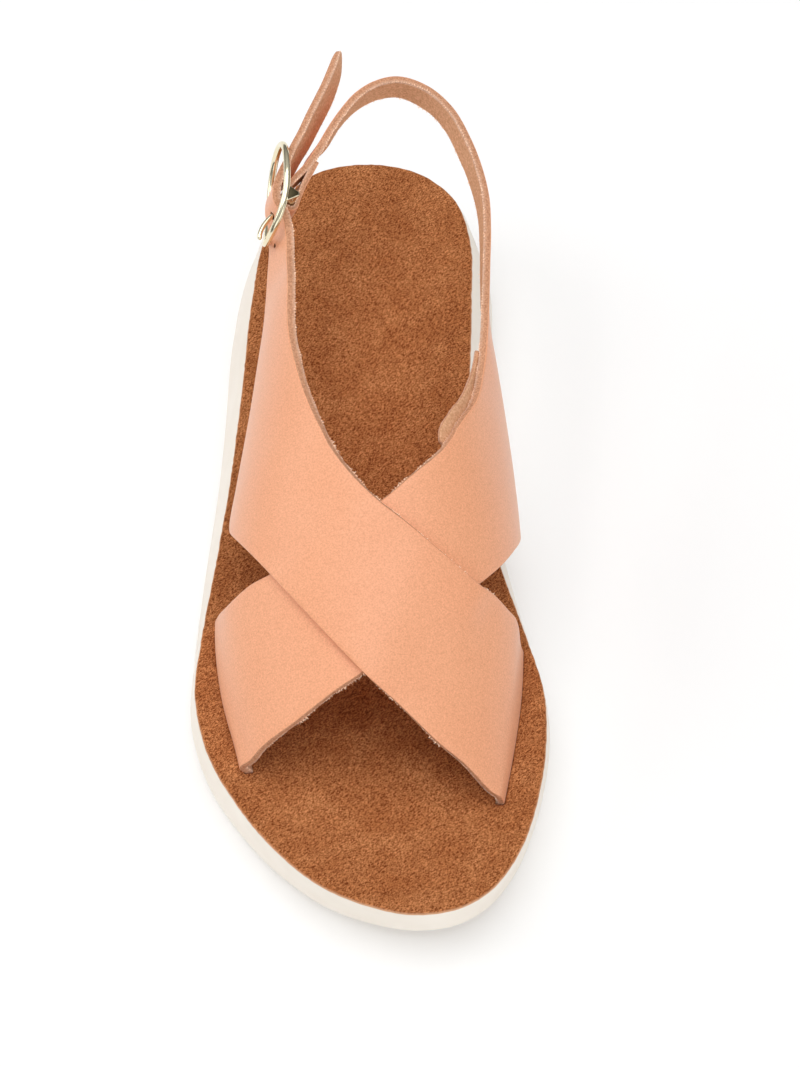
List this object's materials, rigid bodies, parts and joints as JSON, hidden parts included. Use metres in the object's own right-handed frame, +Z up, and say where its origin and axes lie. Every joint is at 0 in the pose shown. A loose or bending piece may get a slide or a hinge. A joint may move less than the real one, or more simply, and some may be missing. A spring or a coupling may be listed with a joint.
{
  "type": "platform sandal",
  "caption": "Right-foot platform sandal with broad crossed leather straps, a buckled heel sling, a brown suede footbed and a thick cream sole.",
  "frame": {"origin": "on the floor under the middle of the sole's plan box", "axes": "+Z up, +Y from the toe towards the heel, +X towards the medial side of the right foot"},
  "size_m": [0.1002, 0.2536, 0.0871],
  "materials": {
    "sole": "smooth matt cream",
    "footbed": "brown suede nap",
    "straps": "smooth undyed vegetable-tanned grain, raw cut edges",
    "buckle": "polished pale gold plate"
  },
  "bodies": {
    "root": {"platform_sole": "sole", "suede_footbed": "footbed", "upper_straps": "straps", "buckle_frame": "buckle", "buckle_prong": "buckle"}
  },
  "joints": []
}
